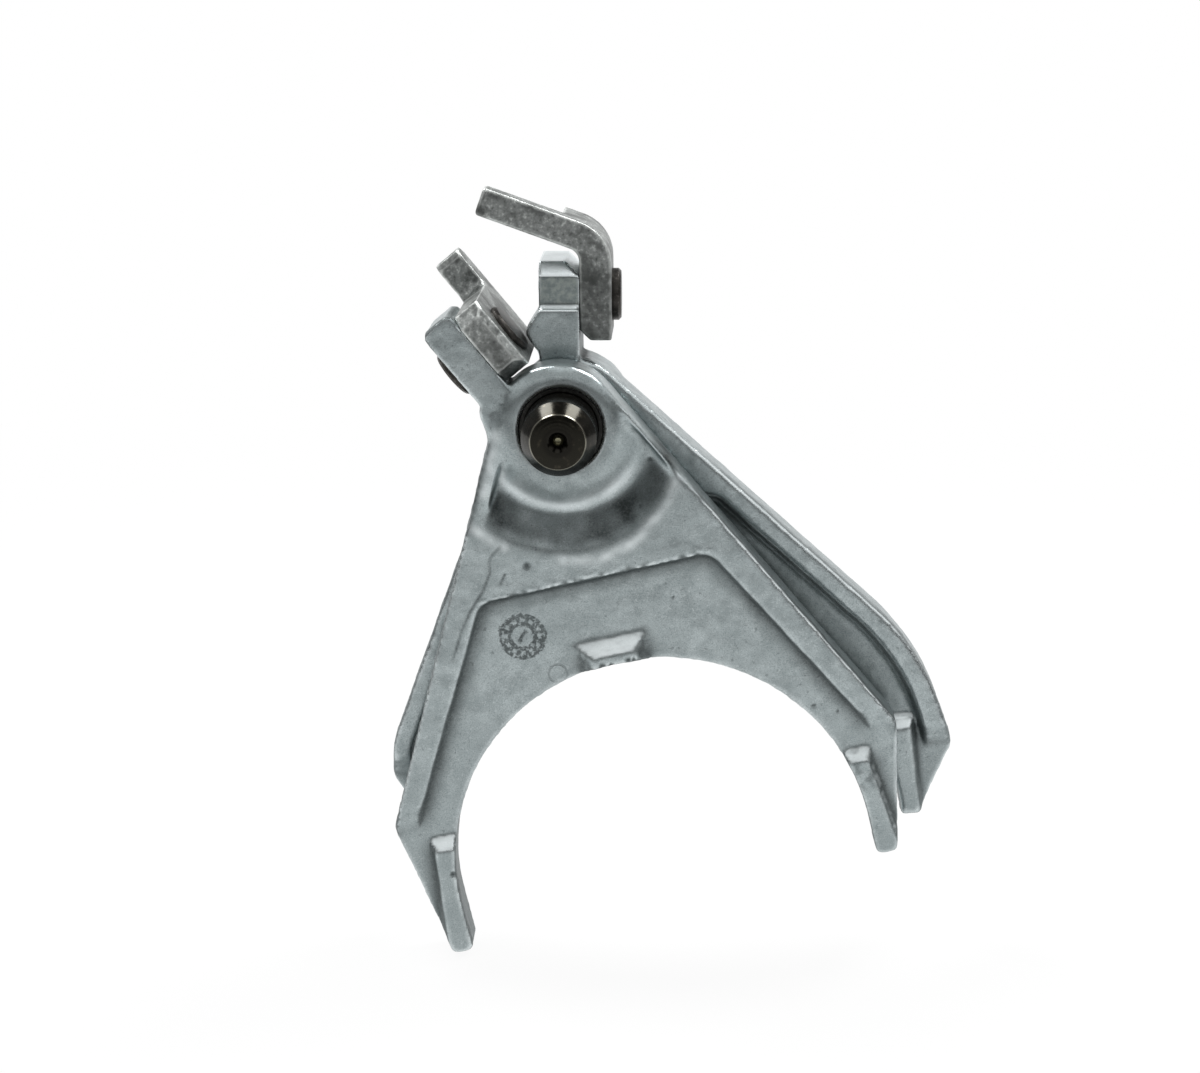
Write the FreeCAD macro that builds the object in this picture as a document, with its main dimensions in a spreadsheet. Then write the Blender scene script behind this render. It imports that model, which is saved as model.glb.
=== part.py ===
import FreeCAD, Part
import math
import os
import Sketcher

# Two nested selector forks on one rod. Each is a die casting with a steel finger riveted to
# its lug. The rod lies along Y, its plain part starting at the origin. The jaws hang to -Z.

# Driving sizes in millimetres and degrees: alias, value, what it is
SIZES = [
    ("rod_radius", 7.0, "rod, plain part"),
    ("rod_length", 54.5, "rod, end to end"),
    ("rod_lead_length", 3.4, "lead cone at each rod end, along the rod"),
    ("rod_lead_depth", 1.8, "lead cone at each rod end, off the radius"),
    ("rod_centre_radius", 1.8, "centre drilling at the rod end"),
    ("rod_centre_depth", 2.2, "centre drilling at the rod end"),
    ("rod_overhang", 11.5, "rod end beyond the mouth of the front hub"),
    ("rod_groove_width", 0.7, "relief groove beside each bush, along the rod"),
    ("rod_groove_depth", 0.3, "relief groove, off the radius"),
    ("rod_groove_cover", 0.2, "relief groove inside the face of its hub"),
    ("rod_clearance", 0.05, "radial running fit of the bushes on the rod"),
    ("bush_wall", 0.85, "wall of the thin bushes"),
    ("bush_recess", 1.0, "bush end below the face of its hub"),
    ("mouth_chamfer", 0.4, "chamfer at the mouth of each hub"),
    ("fork_gap", 1.0, "gap between the two castings at rest"),
    ("front_turn", 13.0, "front fork turned about the rod"),
    ("front_hub_radius", 12.2, "front hub, outside"),
    ("front_hub_shift", -0.7, "front hub circle off the rod axis, sideways"),
    ("front_hub_rise", 0.0, "front hub circle off the rod axis, upwards"),
    ("front_hub_length", 10.0, "front hub, along the rod"),
    ("front_boss_radius", 11.4, "front hub at its foot"),
    ("front_face_radius", 9.9, "flat face of the front hub"),
    ("front_arm_setback", 1.0, "arm face behind the hub face"),
    ("front_arm_thickness", 9.0, "front fork arms, along the rod"),
    ("front_jaw_drop", 88.0, "rod axis to jaw centre"),
    ("front_jaw_shift", -0.8, "jaw centre off the hub line"),
    ("front_jaw_radius", 40.8, "front jaw"),
    ("front_left_flank", 27.3, "left flank from the hub line"),
    ("front_right_flank", 27.3, "right flank from the hub line"),
    ("front_corner_half", 50.4, "jaw centre line to the outer corner"),
    ("front_corner_drop", 70.6, "rod axis to the outer corners"),
    ("front_corner_radius", 4.0, "rounding of the outer corners"),
    ("front_tip_half", 44.9, "jaw centre line to the outside of a tip"),
    ("front_left_tip_drop", 98.0, "rod axis to the end of the left tip"),
    ("front_right_tip_drop", 96.0, "rod axis to the end of the right tip"),
    ("front_tip_radius", 1.2, "rounding of the tips"),
    ("front_recess_top", 29.3, "rod axis to the top of the arm recess"),
    ("front_recess_depth", 1.6, "arm recess below the arm face"),
    ("front_recess_slope", 35.0, "walls of the arm recess off upright"),
    ("front_recess_corner", 4.5, "top corners of the arm recess"),
    ("front_rim_width", 5.5, "rim beside the arm recess"),
    ("front_pad_drop", 75.5, "rod axis to the top of the tip pads"),
    ("front_pad_half_top", 43.0, "jaw centre line to the outside of a pad, top"),
    ("front_pad_half_tip", 46.0, "jaw centre line to the outside of a pad, tip"),
    ("front_middle_pad_half", 7.6, "half width of the middle pad at its foot"),
    ("front_middle_pad_drop", 41.8, "rod axis to the foot of the middle pad"),
    ("front_run_out_half", 46.8, "jaw centre line to where the rim runs out"),
    ("front_run_out_drop", 72.5, "rod axis to where the rim runs out"),
    ("rim_run_out_length", 6.0, "slope at the end of each rim, along the rim"),
    ("pad_bevel", 1.3, "bevel at the top of each tip pad"),
    ("middle_pad_slope", 66.0, "sides of the middle pads off upright"),
    ("hollow_radius", 23.4, "outer edge of the hollow round the front hub"),
    ("hollow_root_radius", 16.4, "foot of the hub cone in the hollow"),
    ("hollow_depth", 5.0, "hollow below the hub face"),
    ("hollow_round", 3.0, "roundings of the hub cone and of the hollow"),
    ("hollow_left_rim", 3.2, "rim left beside the hollow, left side"),
    ("hollow_right_rim", 1.0, "rim left beside the hollow, right side"),
    ("rear_turn", 3.8, "rear fork turned about the rod"),
    ("rear_hub_radius", 11.1, "rear hub, outside"),
    ("rear_hub_shift", 1.5, "rear hub circle off the rod axis, sideways"),
    ("rear_hub_rise", 0.4, "rear hub circle off the rod axis, upwards"),
    ("rear_hub_length", 13.5, "rear hub, along the rod"),
    ("rear_boss_radius", 10.0, "machined face of the rear hub"),
    ("rear_arm_setback", 0.6, "arm face behind the hub face"),
    ("rear_arm_thickness", 9.4, "rear fork arms, along the rod"),
    ("rear_jaw_drop", 86.6, "rod axis to jaw centre"),
    ("rear_jaw_shift", 15.9, "jaw centre off the hub line"),
    ("rear_jaw_radius", 44.8, "rear jaw"),
    ("rear_left_flank", 24.0, "left flank from the hub line"),
    ("rear_right_flank", 44.0, "right flank from the hub line"),
    ("rear_left_shoulder_drop", 62.5, "rod axis to the left shoulder"),
    ("rear_right_shoulder_drop", 50.0, "rod axis to the right shoulder"),
    ("rear_left_shoulder_radius", 14.0, "rounding of the left shoulder"),
    ("rear_right_shoulder_radius", 48.0, "rounding of the right shoulder"),
    ("rear_corner_half", 55.6, "jaw centre line to the outer corner"),
    ("rear_corner_drop", 70.4, "rod axis to the outer corners"),
    ("rear_corner_radius", 5.0, "rounding of the outer corners"),
    ("rear_tip_half", 48.4, "jaw centre line to the outside of a tip"),
    ("rear_left_tip_drop", 84.3, "rod axis to the end of the left tip"),
    ("rear_right_tip_drop", 84.3, "rod axis to the end of the right tip"),
    ("rear_tip_radius", 0.9, "rounding of the tips"),
    ("rear_recess_top", 17.0, "rod axis to the top of the arm recess"),
    ("rear_recess_depth", 2.0, "arm recess below the arm face"),
    ("rear_recess_slope", 30.0, "walls of the arm recess off upright"),
    ("rear_recess_corner", 3.5, "top corners of the arm recess"),
    ("rear_rim_width", 3.8, "rim beside the arm recess"),
    ("rear_pad_drop", 65.3, "rod axis to the top of the tip pads"),
    ("rear_pad_half_top", 47.2, "jaw centre line to the outside of a pad, top"),
    ("rear_pad_half_tip", 48.6, "jaw centre line to the outside of a pad, tip"),
    ("rear_middle_pad_half", 8.0, "half width of the middle pad at its foot"),
    ("rear_middle_pad_drop", 36.0, "rod axis to the foot of the middle pad"),
    ("rear_run_out_half", 51.6, "jaw centre line to where the rim runs out"),
    ("rear_run_out_drop", 72.0, "rod axis to where the rim runs out"),
    ("side_lug_lean", 39.4, "side lug from upright, towards the left"),
    ("side_lug_seat", 2.4, "lean line through the rod axis to the seat of the side lug"),
    ("side_lug_thickness", 6.6, "side lug, seat to outer face"),
    ("side_lug_reach", 29.9, "rod axis to the end of the side lug"),
    ("side_lug_setback", 1.5, "side lug face behind the hub face"),
    ("side_lug_depth", 16.0, "side lug, along the rod"),
    ("side_lug_chamfer", 1.0, "chamfer at the end of the side lug"),
    ("side_lug_foot", 14.2, "rod axis to the deep part of the side lug"),
    ("side_lug_notch", 1.5, "step beside the root of the side lug"),
    ("side_lug_notch_drop", 4.5, "step, down to the hub"),
    ("top_lug_left", 4.5, "rod axis to the left face of the top lug"),
    ("top_lug_right", 3.2, "rod axis to the seat face of the top lug"),
    ("top_lug_reach", 29.7, "rod axis to the end of the top lug"),
    ("top_lug_setback", 1.6, "top lug face behind the rear hub face"),
    ("top_lug_depth", 18.0, "top lug, along the rod"),
    ("top_lug_corner", 2.6, "cut corner of the top lug"),
    ("top_lug_bevel", 2.4, "sloping front edge of the top lug"),
    ("top_lug_root_rise", 20.9, "rod axis to the top of the thick root"),
    ("top_lug_root_flare", 2.8, "root wider than the lug, left side"),
    ("top_lug_root_slope", 4.5, "top of the root to its widest place"),
    ("top_lug_root_neck", 3.9, "widest place down to the neck"),
    ("top_lug_root_round", 1.2, "roundings of the root"),
    ("top_lug_root_setback", 0.4, "root face behind the rear hub face"),
    ("side_finger_thickness", 5.6, "side finger plate"),
    ("side_finger_setback", 1.0, "plate edge behind the front hub face"),
    ("side_finger_depth", 30.0, "plate, along the rod"),
    ("side_finger_foot", 13.2, "rod axis to the inner end of the plate"),
    ("side_finger_shoulder", 28.5, "rod axis to the outer end of the plate"),
    ("side_finger_reach", 37.0, "rod axis to the finger end"),
    ("side_finger_width", 6.0, "finger, along the rod"),
    ("side_finger_root_radius", 2.0, "hollow corner at the finger root"),
    ("side_finger_end_cut", 2.4, "cut front corners of the plate"),
    ("side_finger_tip_cut", 1.2, "cut corners of the finger and of the plate behind it"),
    ("side_finger_edge_bevel", 1.3, "bevel along the open front edge"),
    ("top_finger_foot_low", 14.8, "rod axis to the bottom of the foot"),
    ("top_finger_thickness", 6.1, "foot, sideways"),
    ("top_finger_setback", 1.7, "finger face behind the rear hub face"),
    ("top_finger_foot_depth", 15.5, "foot, along the rod"),
    ("top_finger_arm_depth", 5.4, "arm, along the rod"),
    ("top_finger_arm_height", 5.4, "arm, across"),
    ("top_finger_lean", 20.0, "arm above level"),
    ("top_finger_bend_rise", 31.7, "rod axis to the inside of the bend"),
    ("top_finger_inner_radius", 2.6, "inside of the bend"),
    ("top_finger_outer_radius", 8.6, "outside of the bend"),
    ("top_finger_reach", 16.5, "rod axis to the arm end, sideways"),
    ("top_finger_bend_left", -0.2, "where the deep part of the bend ends"),
    ("top_finger_foot_cut", 2.0, "cut corner of the foot"),
    ("top_finger_end_round", 0.6, "rounding of the arm end"),
    ("rivet_radius", 3.0, "rivet shanks"),
    ("rivet_head_radius", 5.0, "rivet heads"),
    ("rivet_head_height", 1.7, "rivet heads"),
    ("rivet_inner_head_height", 1.1, "side rivet head between the finger and the rear fork"),
    ("rivet_head_edge", 0.5, "rounding cone of the heads"),
    ("side_rivet_reach", 20.0, "rod axis to the side rivet"),
    ("side_rivet_depth", 8.6, "side rivet behind the face of the side lug"),
    ("top_rivet_reach", 22.6, "rod axis to the top rivet"),
    ("top_rivet_depth", 8.0, "top rivet behind the face of the top lug"),
]

doc = FreeCAD.newDocument("selector_forks")
sheet = doc.addObject("Spreadsheet::Sheet", "sizes")
for row, (alias, value, note) in enumerate(SIZES, start=1):
    sheet.set("A%d" % row, note)
    sheet.set("B%d" % row, str(value))
    sheet.setAlias("B%d" % row, alias)
doc.recompute()


def size(alias):
    return float(sheet.get(alias))


# Places along the rod, as expressions
FRONT_HUB_BACK = "sizes.rod_overhang - sizes.rod_lead_length"
REAR_HUB_BACK = FRONT_HUB_BACK + " + sizes.front_hub_length + sizes.fork_gap"


def turned(x, z, degrees):
    """The point (x, z) turned about the rod, towards +X from +Z."""
    angle = math.radians(degrees)
    return (
        x * math.cos(angle) + z * math.sin(angle),
        -x * math.sin(angle) + z * math.cos(angle),
    )


# Bodies, sketches and features
def new_body(label):
    body = doc.addObject("PartDesign::Body", label)
    body.Label = label
    return body


def plane(body, role):
    return next(part for part in body.Origin.OriginFeatures if part.Role == role)


def new_sketch(body, name, role, back=None):
    """A sketch on a plane of the body, moved to +Y by the expression in back."""
    sketch = body.newObject("Sketcher::SketchObject", name)
    sketch.AttachmentSupport = [(plane(body, role), "")]
    sketch.MapMode = "FlatFace"
    if back is not None:
        sketch.setExpression(".AttachmentOffset.Base.z", "-(%s)" % back)
    return sketch


def draw(sketch, edges):
    """Adds the edges of one closed loop and joins their ends."""
    first = sketch.GeometryCount
    for edge in edges:
        sketch.addGeometry(edge, False)
    count = len(edges)
    for index in range(count):
        here = first + index
        following = first + (index + 1) % count
        pairs = [(a, b) for a in (1, 2) for b in (1, 2)]
        nearest = min(
            pairs,
            key=lambda pair: sketch.getPoint(here, pair[0]).distanceToPoint(
                sketch.getPoint(following, pair[1])
            ),
        )
        sketch.addConstraint(
            Sketcher.Constraint("Coincident", here, nearest[0], following, nearest[1])
        )


def circle(sketch, radius, centre=None):
    """A circle with its radius, and its centre if it has one, bound to expressions."""
    start = FreeCAD.Vector(0, 0, 0) if centre is None else FreeCAD.Vector(5, 5, 0)
    index = sketch.addGeometry(Part.Circle(start, FreeCAD.Vector(0, 0, 1), 5.0))
    bound = [("Radius", (index, 5.0), radius)]
    if centre is None:
        sketch.addConstraint(Sketcher.Constraint("Coincident", index, 3, -1, 1))
    else:
        bound.append(("DistanceX", (-1, 1, index, 3, 5.0), centre[0]))
        bound.append(("DistanceY", (-1, 1, index, 3, 5.0), centre[1]))
    for kind, targets, expression in bound:
        number = sketch.addConstraint(Sketcher.Constraint(kind, *targets))
        sketch.setExpression("Constraints[%d]" % number, expression)


def loop(corners):
    """Edges through corners (x, z), (x, z, radius) or ("via", x, z) for an arc to the next."""
    points = []
    vias = {}
    for corner in corners:
        if corner[0] == "via":
            vias[len(points) - 1] = FreeCAD.Vector(corner[1], corner[2], 0)
        else:
            radius = corner[2] if len(corner) > 2 else 0.0
            points.append((FreeCAD.Vector(corner[0], corner[1], 0), radius))
    count = len(points)
    starts = []
    arcs = []
    for index in range(count):
        here, radius = points[index]
        if radius <= 0.0:
            starts.append((here, here))
            arcs.append(None)
            continue
        before = (points[index - 1][0] - here).normalize()
        after = (points[(index + 1) % count][0] - here).normalize()
        half = before.getAngle(after) / 2
        reach = radius / math.tan(half)
        middle = (before + after).normalize()
        top = here + middle * (radius / math.sin(half) - radius)
        enter = here + before * reach
        leave = here + after * reach
        starts.append((enter, leave))
        arcs.append(Part.Arc(enter, top, leave))
    edges = []
    for index in range(count):
        if arcs[index] is not None:
            edges.append(arcs[index])
        leave = starts[index][1]
        enter = starts[(index + 1) % count][0]
        if index in vias:
            edges.append(Part.Arc(leave, vias[index], enter))
        elif leave.distanceToPoint(enter) > 1e-6:
            edges.append(Part.LineSegment(leave, enter))
    return edges


def pad(body, sketch, name, length):
    """Material from the sketch towards +Y, or along the sketch normal on a side plane."""
    feature = body.newObject("PartDesign::Pad", name)
    feature.Profile = sketch
    feature.setExpression("Length", length)
    feature.Reversed = "XZ_Plane" in sketch.AttachmentSupport[0][0].Role
    doc.recompute()
    return feature


def cut(body, sketch, name, depth=None, slope=None, reverse=False):
    """A pocket from the sketch towards +Y or -X, through everything without a depth."""
    before = body.Shape.Volume
    feature = body.newObject("PartDesign::Pocket", name)
    feature.Profile = sketch
    if depth is None:
        feature.Type = "ThroughAll"
        feature.Midplane = True
    else:
        feature.setExpression("Length", depth)
        feature.Reversed = reverse
    if slope is not None:
        feature.setExpression("TaperAngle", "-(%s)" % slope)
    doc.recompute()
    if not feature.Shape.Volume < before:
        raise RuntimeError(name + " cuts nothing")
    return feature


def turn_profile(body, sketch, name, kind):
    """A revolved solid or groove about the Y axis of its sketch."""
    feature = body.newObject("PartDesign::" + kind, name)
    feature.Profile = sketch
    feature.ReferenceAxis = (sketch, ["V_Axis"])
    feature.Angle = 360
    doc.recompute()
    return feature


def bevel(body, base, name, edge_names, width):
    """A chamfer on the named edges of the base feature."""
    feature = body.newObject("PartDesign::Chamfer", name)
    feature.Base = (base, edge_names)
    feature.setExpression("Size", width)
    doc.recompute()
    if not feature.Shape.Volume < base.Shape.Volume:
        raise RuntimeError(name + " cuts nothing")
    return feature


def edges_where(feature, test):
    return ["Edge%d" % index for index, edge in enumerate(feature.Shape.Edges, 1) if test(edge)]


def place(body, back, degrees=0.0, x=0.0, z=0.0):
    """Puts a body at its distance along the rod, turned about the rod's direction."""
    body.Placement = FreeCAD.Placement(
        FreeCAD.Vector(x, 0, z), FreeCAD.Rotation(FreeCAD.Vector(0, 1, 0), degrees)
    )
    body.setExpression(".Placement.Base.y", back)


# Outline of a fork in its own upright frame: rod axis at the origin, jaw below
def jaw_half_at(prefix, drop):
    """Half width of the jaw opening at a distance below the rod axis."""
    level = min(drop, size(prefix + "jaw_drop"))
    return math.sqrt(size(prefix + "jaw_radius") ** 2 - (size(prefix + "jaw_drop") - level) ** 2)


def flank_x(prefix, side, drop, inset=0.0):
    """Sideways place of a flank at a distance below the rod axis."""
    name = "left" if side < 0 else "right"
    angle = math.radians(size(prefix + name + "_flank"))
    normal = (side * math.cos(angle), math.sin(angle))
    centre = (size(prefix + "hub_shift"), size(prefix + "hub_rise"))
    offset = centre[0] * normal[0] + centre[1] * normal[1] + size(prefix + "hub_radius") - inset
    return (offset + drop * normal[1]) / normal[0]


def flank_touch(prefix, side):
    """Where a flank touches the hub circle."""
    name = "left" if side < 0 else "right"
    angle = math.radians(size(prefix + name + "_flank"))
    radius = size(prefix + "hub_radius")
    return (
        size(prefix + "hub_shift") + side * radius * math.cos(angle),
        size(prefix + "hub_rise") + radius * math.sin(angle),
    )


def side_corners(prefix, side, shoulder):
    """Corners down one side of a fork, from the hub to the inner end of the tip."""
    name = "left" if side < 0 else "right"
    middle = size(prefix + "jaw_shift")
    tip_drop = size(prefix + name + "_tip_drop")
    tip_radius = size(prefix + "tip_radius")
    corners = [flank_touch(prefix, side)]
    if shoulder:
        drop = size(prefix + name + "_shoulder_drop")
        radius = size(prefix + name + "_shoulder_radius")
        corners.append((flank_x(prefix, side, drop), -drop, radius))
        corner_x = middle + side * size(prefix + "corner_half")
    else:
        corner_x = flank_x(prefix, side, size(prefix + "corner_drop"))
    corners.append((corner_x, -size(prefix + "corner_drop"), size(prefix + "corner_radius")))
    corners.append((middle + side * size(prefix + "tip_half"), -tip_drop, tip_radius))
    inner = middle + side * jaw_half_at(prefix, tip_drop)
    if tip_drop > size(prefix + "jaw_drop"):
        corners.append((inner, -tip_drop, tip_radius))
        corners.append((inner, -size(prefix + "jaw_drop")))
    else:
        corners.append((inner, -tip_drop))
    return corners


def fork_outline(prefix, shoulder):
    """Closed outline: hub arc, right side, jaw arc, left side."""
    hub_top = size(prefix + "hub_rise") + size(prefix + "hub_radius")
    jaw_top = size(prefix + "jaw_radius") - size(prefix + "jaw_drop")
    corners = [("via", size(prefix + "hub_shift"), hub_top)]
    right = side_corners(prefix, 1, shoulder)
    left = side_corners(prefix, -1, shoulder)
    corners = [left[0]] + corners + right
    corners.append(("via", size(prefix + "jaw_shift"), jaw_top))
    corners.extend(reversed(left[1:]))
    return loop(corners)


def recess_side(prefix, side, shoulder):
    """Corners of the arm recess down one side, round the tip pad and into the jaw."""
    name = "left" if side < 0 else "right"
    middle = size(prefix + "jaw_shift")
    rim = size(prefix + "rim_width")
    top = size(prefix + "recess_top")
    beyond = size(prefix + name + "_tip_drop") + rim
    run_out = middle + side * size(prefix + "run_out_half")
    run_out_drop = size(prefix + "run_out_drop")
    corners = [(flank_x(prefix, side, top, rim), -top, size(prefix + "recess_corner"))]
    if shoulder:
        drop = size(prefix + name + "_shoulder_drop") + rim / 2
        radius = size(prefix + name + "_shoulder_radius") - rim
        corners.append((flank_x(prefix, side, drop, rim), -drop, radius))
    corners.append((run_out, -run_out_drop))
    corners.append((run_out + side * rim, -run_out_drop))
    corners.append((run_out + side * rim, -beyond))
    pad_drop = size(prefix + "pad_drop")
    corners.append((middle + side * size(prefix + "pad_half_tip"), -beyond))
    corners.append((middle + side * size(prefix + "pad_half_top"), -pad_drop))
    corners.append((middle + side * (jaw_half_at(prefix, pad_drop) - rim), -pad_drop))
    return corners


def arm_recess(prefix, shoulder):
    right = recess_side(prefix, 1, shoulder)
    left = recess_side(prefix, -1, shoulder)
    return loop(right + list(reversed(left)))


def rim_end(body, prefix, side, shoulder):
    """Slopes the end of a rim down to the recess floor, from the rim's foot outwards."""
    corners = recess_side(prefix, side, shoulder)
    (top_x, top_z, *_), (end_x, end_z) = corners[1:3] if shoulder else corners[0:2]
    face = size(prefix + "arm_setback")
    depth = size(prefix + "recess_depth")
    foot = depth * math.tan(math.radians(size(prefix + "recess_slope")))
    start_z = end_z + size("rim_run_out_length")
    start_x = end_x + (top_x - end_x) * (start_z - end_z) / (top_z - end_z) - side * foot
    name = prefix + ("left" if side < 0 else "right") + "_rim_end"
    wedge = new_sketch(body, name + "_section", "YZ_Plane")
    wedge.AttachmentOffset = FreeCAD.Placement(FreeCAD.Vector(0, 0, start_x), FreeCAD.Rotation())
    draw(wedge, loop([
        (face - depth, start_z),
        (face, start_z),
        (face + depth, end_z),
        (face + depth, end_z - foot),
        (face - depth, end_z - foot),
    ]))
    cut(body, wedge, name, "4 * sizes.%srim_width" % prefix, reverse=side > 0)


def middle_pad(body, prefix):
    """A pad with sloping sides on the recess floor, trimmed to the jaw."""
    floor = "sizes.%sarm_setback + sizes.%srecess_depth" % (prefix, prefix)
    foot = new_sketch(body, prefix + "middle_pad_foot", "XZ_Plane", floor)
    middle = size(prefix + "jaw_shift")
    half = size(prefix + "middle_pad_half")
    radius = size(prefix + "jaw_radius")
    centre = -size(prefix + "jaw_drop")
    top = -size(prefix + "middle_pad_drop")
    low = centre + radius - half
    draw(foot, loop([
        (middle - half, top), (middle + half, top), (middle + half, low), (middle - half, low),
    ]))
    feature = pad(body, foot, prefix + "middle_pad", "sizes.%srecess_depth" % prefix)
    feature.Reversed = False
    feature.setExpression("TaperAngle", "-sizes.middle_pad_slope")
    jaw = new_sketch(body, prefix + "jaw_circle", "XZ_Plane")
    draw(jaw, loop([
        (middle - radius, centre),
        ("via", middle, centre + radius),
        (middle + radius, centre),
        ("via", middle, centre - radius),
    ]))
    cut(body, jaw, prefix + "jaw_trim")


def cast_fork(label, prefix, shoulder):
    """The casting common to both forks: arms, recess and pads."""
    body = new_body(label)
    setback = "sizes.%sarm_setback" % prefix
    outline = new_sketch(body, prefix + "outline", "XZ_Plane", setback)
    draw(outline, fork_outline(prefix, shoulder))
    pad(body, outline, prefix + "arms", "sizes.%sarm_thickness" % prefix)
    recess = new_sketch(body, prefix + "recess_outline", "XZ_Plane", setback)
    draw(recess, arm_recess(prefix, shoulder))
    feature = cut(body, recess, prefix + "recess", "sizes.%srecess_depth" % prefix,
                  "sizes.%srecess_slope" % prefix)
    face = size(prefix + "arm_setback")
    level = -size(prefix + "pad_drop")

    def pad_top(edge):
        box = edge.BoundBox
        on_face = abs(box.YMin - face) < 0.01 and abs(box.YMax - face) < 0.01
        return on_face and abs(box.ZMin - level) < 0.01 and abs(box.ZMax - level) < 0.01

    bevel(body, feature, prefix + "pad_tops", edges_where(feature, pad_top), "sizes.pad_bevel")
    for side in (-1, 1):
        rim_end(body, prefix, side, shoulder)
    middle_pad(body, prefix)
    return body


def bore_hub(body, prefix):
    """The bush bore, with its mouth chamfer at the hub face."""
    bore = new_sketch(body, prefix + "bore_circle", "XZ_Plane")
    circle(bore, "sizes.rod_radius + sizes.rod_clearance + sizes.bush_wall")
    feature = cut(body, bore, prefix + "bore")
    radius = size("rod_radius") + size("rod_clearance") + size("bush_wall")

    def at_mouth(edge):
        box = edge.BoundBox
        return abs(box.YMax) < 0.01 and abs(box.XLength - 2 * radius) < 0.01

    mouth = edges_where(feature, at_mouth)
    bevel(body, feature, prefix + "mouth", mouth, "sizes.mouth_chamfer")


# Rivet centres behind the face of their hub and above the rod, as expressions
SIDE_RIVET = ("sizes.side_lug_setback + sizes.side_rivet_depth", "sizes.side_rivet_reach")
TOP_RIVET = ("sizes.top_lug_setback + sizes.top_rivet_depth", "sizes.top_rivet_reach")


def rivet_hole(body, name, centre, lean=0.0):
    """A hole for a rivet shank, across a plane turned about the rod."""
    sketch = new_sketch(body, name + "_circle", "YZ_Plane")
    sketch.AttachmentOffset = FreeCAD.Placement(
        FreeCAD.Vector(0, 0, 0), FreeCAD.Rotation(FreeCAD.Vector(1, 0, 0), lean)
    )
    circle(sketch, "sizes.rivet_radius", centre)
    cut(body, sketch, name)


# Front fork: hub with a hollow round it, and a leaning lug
def hollow_profile():
    """Section of the hub cone and hollow: radius across, distance behind the hub face along."""
    flat = size("front_face_radius")
    outer = size("hollow_radius")
    rounding = size("hollow_round")
    face = size("front_arm_setback")
    above = -face
    return loop([
        (flat - rounding, above),
        (flat - rounding, 0.0),
        (flat, 0.0, rounding),
        (size("hollow_root_radius"), size("hollow_depth"), rounding),
        (outer, face, rounding),
        (outer + rounding, face),
        (outer + rounding, above),
    ])


def hollow_rim(side, rim):
    """The strip of flank left standing beside the hollow."""
    low = size("hollow_radius")
    return loop([
        flank_touch("front_", side),
        (flank_x("front_", side, low), -low),
        (flank_x("front_", side, low, rim), -low),
        (flank_x("front_", side, 0.0, rim), 0.0),
    ])


def lug_points(points):
    """Points given across and along the lean of the side lug, in the fork's frame."""
    lean = -size("side_lug_lean") + size("front_turn")
    return [turned(point[0], point[1], lean) + tuple(point[2:]) for point in points]


def side_lug_faces():
    """The outer face and the seat of the side lug, across its lean line."""
    far = -size("side_lug_seat")
    return far - size("side_lug_thickness"), far


def front_fork():
    body = cast_fork("front_fork", "front_", False)
    boss = new_sketch(body, "front_boss_circle", "XZ_Plane")
    circle(boss, "sizes.front_boss_radius")
    pad(body, boss, "front_boss", "sizes.front_hub_length")
    hollow = new_sketch(body, "hollow_section", "XY_Plane")
    draw(hollow, hollow_profile())
    turn_profile(body, hollow, "hollow", "Groove")
    for side, name in ((-1, "left"), (1, "right")):
        rim = new_sketch(body, name + "_rim_outline", "XZ_Plane", "sizes.front_arm_setback")
        draw(rim, hollow_rim(side, size("hollow_%s_rim" % name)))
        pad(body, rim, name + "_rim", "sizes.front_arm_thickness")
    near, far = side_lug_faces()
    foot = size("side_lug_foot")
    notch = size("side_lug_notch")
    notch_drop = size("side_lug_notch_drop")
    chamfer = size("side_lug_chamfer")
    reach = size("side_lug_reach")
    hub = size("front_boss_radius")
    root = new_sketch(body, "side_lug_root_outline", "XZ_Plane", "sizes.side_lug_setback")
    draw(root, loop(lug_points([
        (near, foot + chamfer),
        (near, hub + notch),
        (near - notch, hub),
        (near - 2 * notch, hub - notch_drop),
        (0.0, 0.0),
        (far, hub),
        (far, foot + chamfer),
    ])))
    pad(body, root, "side_lug_root", "sizes.front_hub_length - sizes.side_lug_setback")
    blade = new_sketch(body, "side_lug_outline", "XZ_Plane", "sizes.side_lug_setback")
    draw(blade, loop(lug_points([
        (near, foot),
        (near, reach - chamfer),
        (near + chamfer, reach),
        (far - chamfer, reach),
        (far, reach - chamfer),
        (far, foot),
    ])))
    pad(body, blade, "side_lug", "sizes.side_lug_depth")
    rivet_hole(body, "side_rivet_hole", SIDE_RIVET, size("front_turn") - size("side_lug_lean"))
    bore_hub(body, "front_")
    place(body, FRONT_HUB_BACK, -size("front_turn"))
    return body


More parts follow.
